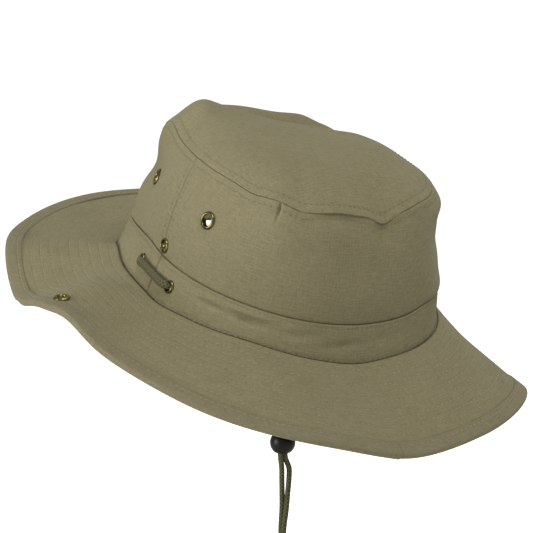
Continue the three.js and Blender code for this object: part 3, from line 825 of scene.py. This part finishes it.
def add_crown_stitching():
    a = np.linspace(0, 2 * np.pi, 1400)

    def at(value):
        return np.full(a.shape, value)

    lines = [
        line_on(wall_at, wall_relief, a, at(1 - 3.4 / WALL_LENGTH), PANEL_STEP),
        line_on(tip_at, tip_relief, a, at(1 - 3.6 / TIP_LENGTH), PANEL_STEP, -1),
        line_on(band_at, band_relief, a, at(1 - 1.8 / BAND_LENGTH), PANEL_STEP),
        line_on(band_at, band_relief, a, at(1.7 / BAND_LENGTH), PANEL_STEP),
    ]
    v = np.linspace(0.03, 0.93, 200)
    for seam in (SIDE_SEAM, math.pi - SIDE_SEAM):
        for shift in (-3 / WALL_RADIUS, 3 / WALL_RADIUS):
            lines.append(line_on(wall_at, wall_relief, np.full(v.shape, seam + shift), v, PANEL_STEP))
    rows = stitch_object("crown_stitching", lines, 2.2, 0.9, 0.45, None, SEAM_THREAD)

    def in_the_groove(aa, vv):
        return np.full(aa.shape, 0.85)

    # Real stitches at the brim's root, in a dark thread and with short gaps, so that they make a nearly
    # unbroken painted shadow line in the groove.
    seam = line_on(brim_at, in_the_groove, a, at(0.3), BRIM_STEP, -1)
    root = stitch_object("brim_seam_shade_stitching", [seam], 3.2, 0.3, 0.5, None, ROOT_SHADE_THREAD)
    for piece in (rows, root):
        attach(piece, "hat")


add_cloth_panels()
add_sweatband()
add_top()
add_crown_stitching()

# ---- brim ----


def brim_relief(a, v):
    total = np.zeros(np.broadcast(a, v).shape)
    for i, row in enumerate(STITCH_ROWS):
        total = total - 0.22 * np.exp(-(((v - row) / 0.6) ** 2))
        total = total + 0.1 * np.sin((210 + 7 * i) * a) * np.exp(-(((v - row) / 1.8) ** 2))
    total = total - 0.2 * np.exp(-(((v - BRIM_WIDTH + BINDING_WIDTH + 0.1) / 0.4) ** 2))
    return total + ripples(a, v, 11, 8, 26, 0.25, 0.35) * np.clip(v / 20, 0, 1)


def under_relief(a, v):
    return brim_relief(a, v) * 0.9


HALVES = {"left": (-np.pi / 2, np.pi / 2), "right": (np.pi / 2, 3 * np.pi / 2)}


def bend(obj):
    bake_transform(obj)


def add_brim_cloth():
    by_row = np.add.outer(STITCH_ROWS, [-1.5, -0.9, -0.5, -0.2, 0.1, 0.4, 0.8, 1.4, 2.6]).ravel()
    by_root = [-1, -0.5, -0.1, 0.1, 0.25, 0.4, 0.55, 0.7, 0.9, 1.3, 2, 2.8]
    by_binding = [49, 50.2, 51, 51.4, 51.7, 52, 52.3, 54, 57, BRIM_WIDTH - 1.2]
    v = np.array([*by_root, *by_row[:-1], *by_binding])
    for side, (lo, hi) in HALVES.items():
        a = np.linspace(lo, hi, 361)
        grid = np.meshgrid(a, v, indexing="ij")
        uv = cloth_uv(brim_at, *grid)
        root = edge_dip(np.maximum(grid[1], 0), 1.3, 0.6)
        top = raised(brim_at, *grid, BRIM_FACE + brim_relief(*grid) + root, BRIM_STEP, -1)
        top_in = raised(brim_at, *grid, 0.35 + 0.85 * root, BRIM_STEP, -1)
        under = raised(brim_at, *grid, -BRIM_FACE - under_relief(*grid), BRIM_STEP, -1)
        under_in = raised(brim_at, *grid, np.full(grid[0].shape, -0.35), BRIM_STEP, -1)
        back = np.s_[:, ::-1]
        upper_grids = (top[back], top_in[back], uv[back])
        upper = cloth_object(f"brim_top_cloth_{side}", *upper_grids, TWILL, ends_open=True)
        lower = cloth_object(f"brim_under_cloth_{side}", under, under_in, uv, TWILL, ends_open=True)
        for piece in (upper, lower):
            bend(piece)
        names = ["brim_top_ply"] if side == "left" else []
        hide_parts(f"brim_top_ply_{side}", *names)
        names = ["brim_under_ply", "brim_interlining"] if side == "left" else []
        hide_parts(f"brim_under_ply_{side}", f"brim_interlining_{side}", *names)


def add_binding():
    """The folded strip over the edge, as one U-shaped section that sweeps round."""
    inner, outer_edge = BRIM_WIDTH - BINDING_WIDTH, BRIM_WIDTH
    section = [(inner - 0.1, 0.9), (inner, 1.55)]
    section += [(inner + 0.5, BINDING_FACE), (inner + 1.6, BINDING_FACE - 0.12)]
    section += [(BINDING_STITCH - 0.5, 1.72), (BINDING_STITCH, 1.5), (BINDING_STITCH + 0.5, 1.72)]
    section += [(inner + w, BINDING_FACE + 0.05) for w in (4, 5.5, 7)]
    turn = np.linspace(0, np.pi, 9)[1:-1]
    section += [(outer_edge - 1.3, BINDING_FACE)]
    section += [(outer_edge - 1.3 + 1.3 * math.sin(t), BINDING_FACE * math.cos(t)) for t in turn]
    section += [(v, -h) for v, h in section[:11][::-1]]
    section = np.array(section)
    for side, (lo, hi) in HALVES.items():
        a = np.linspace(lo, hi, 481)
        if lo < turns(BINDING_JOINT) < hi:
            a = np.sort(np.concatenate([a, turns(BINDING_JOINT) + np.linspace(-1.8, 1.6, 14) / BRIM_RADIUS]))
        aa, vv = np.meshgrid(a, section[:, 0], indexing="ij")
        hh = np.tile(section[:, 1], (len(a), 1))
        hh = hh * (1 + 0.05 * np.sin(190 * aa) * np.exp(-(((vv - BINDING_STITCH) / 1.5) ** 2)))
        joint = (aa - turns(BINDING_JOINT)) * BRIM_RADIUS
        step = np.where(joint < 0, 0.8 * np.exp(np.minimum(joint, 0) / 7), 0.0)
        step = step - 1.2 * np.exp(-(((joint - 0.5) / 0.55) ** 2))
        hh = hh + np.sign(hh) * step * np.clip((vv - inner) / 2, 0, 1)
        points = raised(brim_at, aa, vv, hh, BRIM_STEP, -1)
        uv = np.stack([aa * 15, np.tile(np.arange(section.shape[0]) * 0.12, (len(a), 1))], -1)
        faces = grid_faces(*aa.shape, True)
        strip = new_object(f"binding_cloth_{side}", to_world(points), faces, BINDING, uv)
        bend(strip)
        names = ["brim_binding_front", "brim_binding_back"] if side == "left" else []
        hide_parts(f"brim_binding_{side}", *names)


def add_brim_stitching():
    a = np.linspace(0, 2 * np.pi, 2000)

    def at(value):
        return np.full(a.shape, value)

    def flat(aa, vv):
        return np.full(aa.shape, 1.5)

    for side, sign in SIDES.items():

        def keep(middle, sign=sign):
            return sign * middle[:, 0] > 0

        top = [line_on(brim_at, brim_relief, a, at(row), BRIM_STEP, -1, BRIM_FACE) for row in STITCH_ROWS]
        under = [line_on(brim_at, under_relief, a, at(row), BRIM_STEP, 1, BRIM_FACE) for row in STITCH_ROWS]
        edge = [line_on(brim_at, flat, a, at(BINDING_STITCH), BRIM_STEP, s, 0) for s in (-1, 1)]
        rows = stitch_object(f"brim_stitching_{side}", top + under, 2.5, 0.8, 0.4, keep)
        trim = stitch_object(f"binding_stitching_{side}", edge, 2.5, 0.8, 0.4, keep)
        for piece in (rows, trim):
            bend(piece)


add_brim_cloth()
add_binding()
add_brim_stitching()

# ---- eyelets, snaps and laces ----

# Outlines of the turned fittings: (radius, height above the cloth) in millimetres.
EYELET = [
    (2.9, 0.5), (3.1, 1.1), (3.7, 1.4), (4.3, 1.15), (4.75, 0.5),
    (4.7, 0.1), (3.3, 0.05), (3.2, -1.9), (2.9, -1.9),
]  # fmt: skip
WASHER = [(3.5, -1.3), (4.6, -1.35), (5.0, -1.7), (4.6, -2.1), (3.5, -2.3)]
STUD = [
    (0, -0.6), (3.9, -0.5), (4.1, 0.4), (3.8, 1.1), (3.3, 1.15), (3.0, 0.6),
    (2.8, -0.2), (1.7, -0.3), (1.5, 0.9), (0.9, 1.4), (0, 1.5),
]  # fmt: skip
POST = [(0, -1.2), (4.3, -1.25), (4.2, -1.8), (3, -2.3), (0, -2.5)]
SOCKET = [
    (0, -0.4), (4.3, -0.3), (4.5, 0.4), (4.1, 1.1), (3.2, 1.5), (2.6, 1.3), (2.3, 0.9), (2.2, 0.4), (0, 0.35),
]  # fmt: skip
CAP = [(0, 0.4), (4.8, 0.3), (4.7, -0.5), (3.6, -1.1), (0, -1.4)]


def scaled(outline, factor, deeper=0.0):
    return [(r * factor, h if h > -1 else h - deeper) for r, h in outline]


def add_crown_fitting(name, node, outline, surface, side, place):
    add_fitting(name, node, outline, "hat", *spot(surface, side, place, PANEL_STEP))


def add_brim_fitting(name, node, outline, side, height):
    add_fitting(name, node, outline, f"brim_{side}", *spot(brim_at, side, BRIM_SNAP, BRIM_STEP, -1, height))


def add_fitting(name, node, outline, body, where, up):
    piece = lathe(name, smooth_profile(outline), 40, BRASS, where, up)
    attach(piece, body)
    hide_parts(node)


LACE_RING, LACE_BACKING = scaled(EYELET, 0.76, 1.3), scaled(WASHER, 0.76, 1.2)

for side in SIDES:
    for end, place in VENTS.items():
        ring_name, backing_name = f"vent_ring_{side}_{end}", f"vent_backing_{side}_{end}"
        add_crown_fitting(ring_name, f"vent_eyelet_{side}_{end}", EYELET, wall_at, side, place)
        add_crown_fitting(backing_name, f"vent_washer_{side}_{end}", WASHER, wall_at, side, place)
    for end, place in LACE_EYELETS.items():
        ring_name, backing_name = f"lace_ring_{side}_{end}", f"lace_backing_{side}_{end}"
        add_crown_fitting(ring_name, f"lace_eyelet_{side}_{end}", LACE_RING, band_at, side, place)
        add_crown_fitting(backing_name, f"lace_washer_{side}_{end}", LACE_BACKING, band_at, side, place)
    add_crown_fitting(f"stud_{side}", f"crown_snap_stud_{side}", STUD, wall_at, side, CROWN_SNAP)
    add_crown_fitting(f"stud_post_{side}", f"crown_snap_post_{side}", POST, wall_at, side, CROWN_SNAP)
    add_brim_fitting(f"socket_{side}", f"brim_snap_socket_{side}", SOCKET, side, BRIM_FACE)
    add_brim_fitting(f"socket_cap_{side}", f"brim_snap_cap_{side}", CAP, side, -BRIM_FACE)

LACE_ROUTE = [
    (0, -4.6), (0, -2.5), (0.005, -0.6), (0.03, 1.2), (0.09, 2.6), (0.18, 2.7), (0.34, 2.0), (0.5, 1.9),
    (0.66, 2.0), (0.82, 2.7), (0.91, 2.6), (0.97, 1.2), (0.995, -0.6), (1, -2.5), (1, -4.6),
]  # fmt: skip


def add_lace(side):
    (turn_a, v_a), (turn_b, v_b) = LACE_EYELETS["front"], LACE_EYELETS["rear"]
    a0, a1 = turn_of(side, turn_a), turn_of(side, turn_b)
    route = np.array(LACE_ROUTE)
    a = a0 + (a1 - a0) * route[:, 0]
    v = v_a + (v_b - v_a) * route[:, 0]
    points = to_world(raised(band_at, a, v, route[:, 1], PANEL_STEP))
    path = catmull(points, 12)
    share = np.linspace(0, 1, len(path))
    flatten = np.clip((np.minimum(share, 1 - share) - 0.14) / 0.12, 0, 1)
    flatten = flatten * flatten * (3 - 2 * flatten)
    middle = np.full(len(path), (a0 + a1) / 2)
    normal = to_world(normals_of(band_at, middle, np.full(len(path), 0.5), PANEL_STEP) * 1000)
    width, height = CORD_DIAMETER + 0.0015 * flatten, CORD_DIAMETER - 0.0009 * flatten
    lace = tube(f"lace_braid_{side}", path, width, height, normal, 28, CORD, 0.07)
    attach(lace, "hat")
    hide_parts(f"cord_lace_{side}")


def add_knot(side):
    """An overhand knot of the same cord inside the crown."""
    where, up = spot(band_at, side, LACE_EYELETS["front"], PANEL_STEP, 1, -8.1)
    t = np.linspace(0, 2 * np.pi, 160)[:-1]
    r = 2.1 + 0.95 * np.cos(3 * t)
    local = np.stack([r * np.cos(2 * t), r * np.sin(2 * t), 1.25 * np.sin(3 * t)], -1) * 0.001
    turn = np.array(up.to_track_quat("Z", "Y").to_matrix())
    path = local @ turn.T + np.array(where)
    knot = tube(f"knot_{side}", path, 0.0026, 0.0026, np.tile(np.array(up), (len(path), 1)), 16, CORD, 0.05)
    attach(knot, "hat")
    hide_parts(f"cord_knot_{side}")


for side in SIDES:
    add_lace(side)
    add_knot(side)

# ---- floor, light and sky ----


def stage_material():
    n = Nodes("stage")
    seen = n.add("ShaderNodeLightPath").outputs["Is Camera Ray"]
    glow = n.math("MULTIPLY", seen, 0.75)
    return n.to(
        Base_Color=(0.9, 0.9, 0.9, 1),
        Roughness=0.9,
        Emission_Color=(1, 1, 1, 1),
        Emission_Strength=glow,
    )


FLOOR_DROP = 0.03  # metres from the lowest point of the cord to the floor


def add_stage():
    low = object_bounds()[0]
    size = 8
    verts = [(-size, -size, 0), (size, -size, 0), (size, size, 0), (-size, size, 0)]
    floor = new_object("floor", np.array(verts, float), [(0, 1, 2, 3)], stage_material())
    floor.location = (0, 0, low.z - FLOOR_DROP)


def add_light(name, angle, rise, distance, size, power):
    """An area light that looks at the hat, placed by its angle round it from the wearer's left."""
    data = bpy.data.lights.new(name, "AREA")
    data.shape, data.size = "DISK", size
    data.energy = power
    light = bpy.data.objects.new(name, data)
    a, e = math.radians(angle), math.radians(rise)
    away = Vector((math.cos(a) * math.cos(e), math.sin(a) * math.cos(e), math.sin(e)))
    light.location = away * distance
    light.rotation_mode = "QUATERNION"
    light.rotation_quaternion = away.to_track_quat("Z", "Y")
    bpy.context.scene.collection.objects.link(light)


def add_sky():
    world = bpy.data.worlds.new("sky")
    world.use_nodes = True
    tree = world.node_tree
    background = tree.nodes["Background"]
    seen = tree.nodes.new("ShaderNodeLightPath")
    strength = tree.nodes.new("ShaderNodeMath")
    strength.operation = "MULTIPLY_ADD"
    strength.inputs[1].default_value = 0.66
    strength.inputs[2].default_value = 0.39
    tree.links.new(seen.outputs["Is Camera Ray"], strength.inputs[0])
    tree.links.new(strength.outputs[0], background.inputs["Strength"])
    background.inputs["Color"].default_value = (1, 1, 1, 1)
    bpy.context.scene.world = world
    bpy.context.scene.view_settings.view_transform = "Standard"


add_stage()
add_light("key", -8, 5, 1.8, 0.9, 20)
add_light("fill", 80, 60, 1.8, 1.0, 17.3)
add_light("back", 200, 24, 1.8, 1.0, 5)
add_sky()
